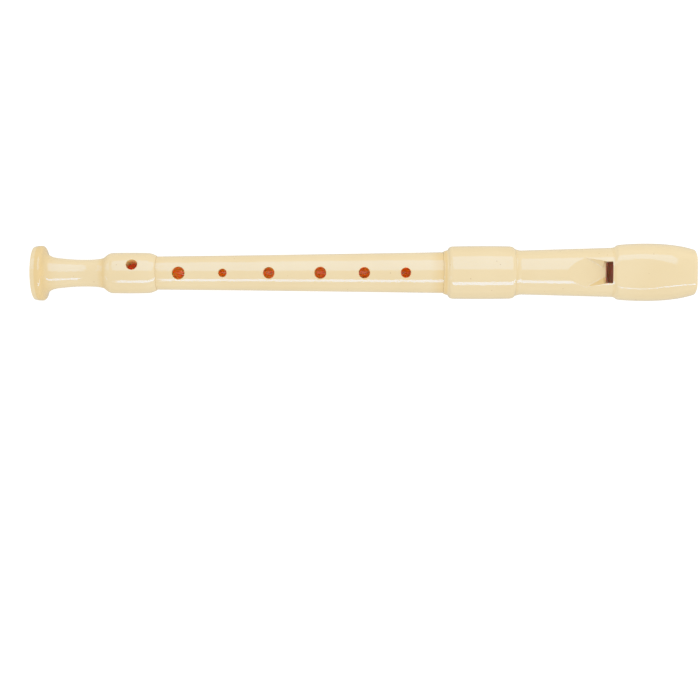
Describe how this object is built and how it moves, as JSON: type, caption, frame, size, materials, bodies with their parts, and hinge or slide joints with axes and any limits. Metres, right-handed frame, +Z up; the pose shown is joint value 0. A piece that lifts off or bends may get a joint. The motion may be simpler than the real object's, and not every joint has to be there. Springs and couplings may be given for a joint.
{
  "type": "soprano recorder",
  "caption": "School recorder of moulded plastic: a tapered tube with finger holes, a thick head socket, a ramp and lip with a window, a beak mouthpiece and a foot with a belled end.",
  "frame": {"origin": "under the middle of the instrument's length, on the surface that it lies on", "axes": "+X along the bore towards the mouthpiece; +Z up, the way that the finger holes and the window face; +Y to the side that the little-finger hole is turned to"},
  "size_m": [0.3256, 0.0282, 0.0269],
  "materials": {
    "body": "polished cream plastic",
    "block": "satin cream plastic",
    "seal": "matt black rubber"
  },
  "bodies": {
    "middle": {"middle_joint": "body"},
    "head_seals": {"head_tenon_seal_lower": "seal", "head_tenon_seal_upper": "seal"},
    "head": {"head_joint": "body", "windway_block": "block", "mouthpiece_cap": "body"},
    "foot_seal": {"foot_tenon_seal": "seal"},
    "foot": {"foot_joint": "body"}
  },
  "joints": [
    {"name": "head_turn", "type": "hinge", "parent": "middle", "child": "head_seals", "pos_m": [0.0502, 0, 0.01345], "axis": [1, 0, 0], "continuous": true},
    {"name": "head_pull", "type": "slide", "parent": "head_seals", "child": "head", "axis": [1, 0, 0], "range_m": [0, 0.023]},
    {"name": "foot_turn", "type": "hinge", "parent": "middle", "child": "foot_seal", "pos_m": [-0.1064, 0, 0.01345], "axis": [1, 0, 0], "continuous": true},
    {"name": "foot_pull", "type": "slide", "parent": "foot_seal", "child": "foot", "axis": [-1, 0, 0], "range_m": [0, 0.008]}
  ]
}
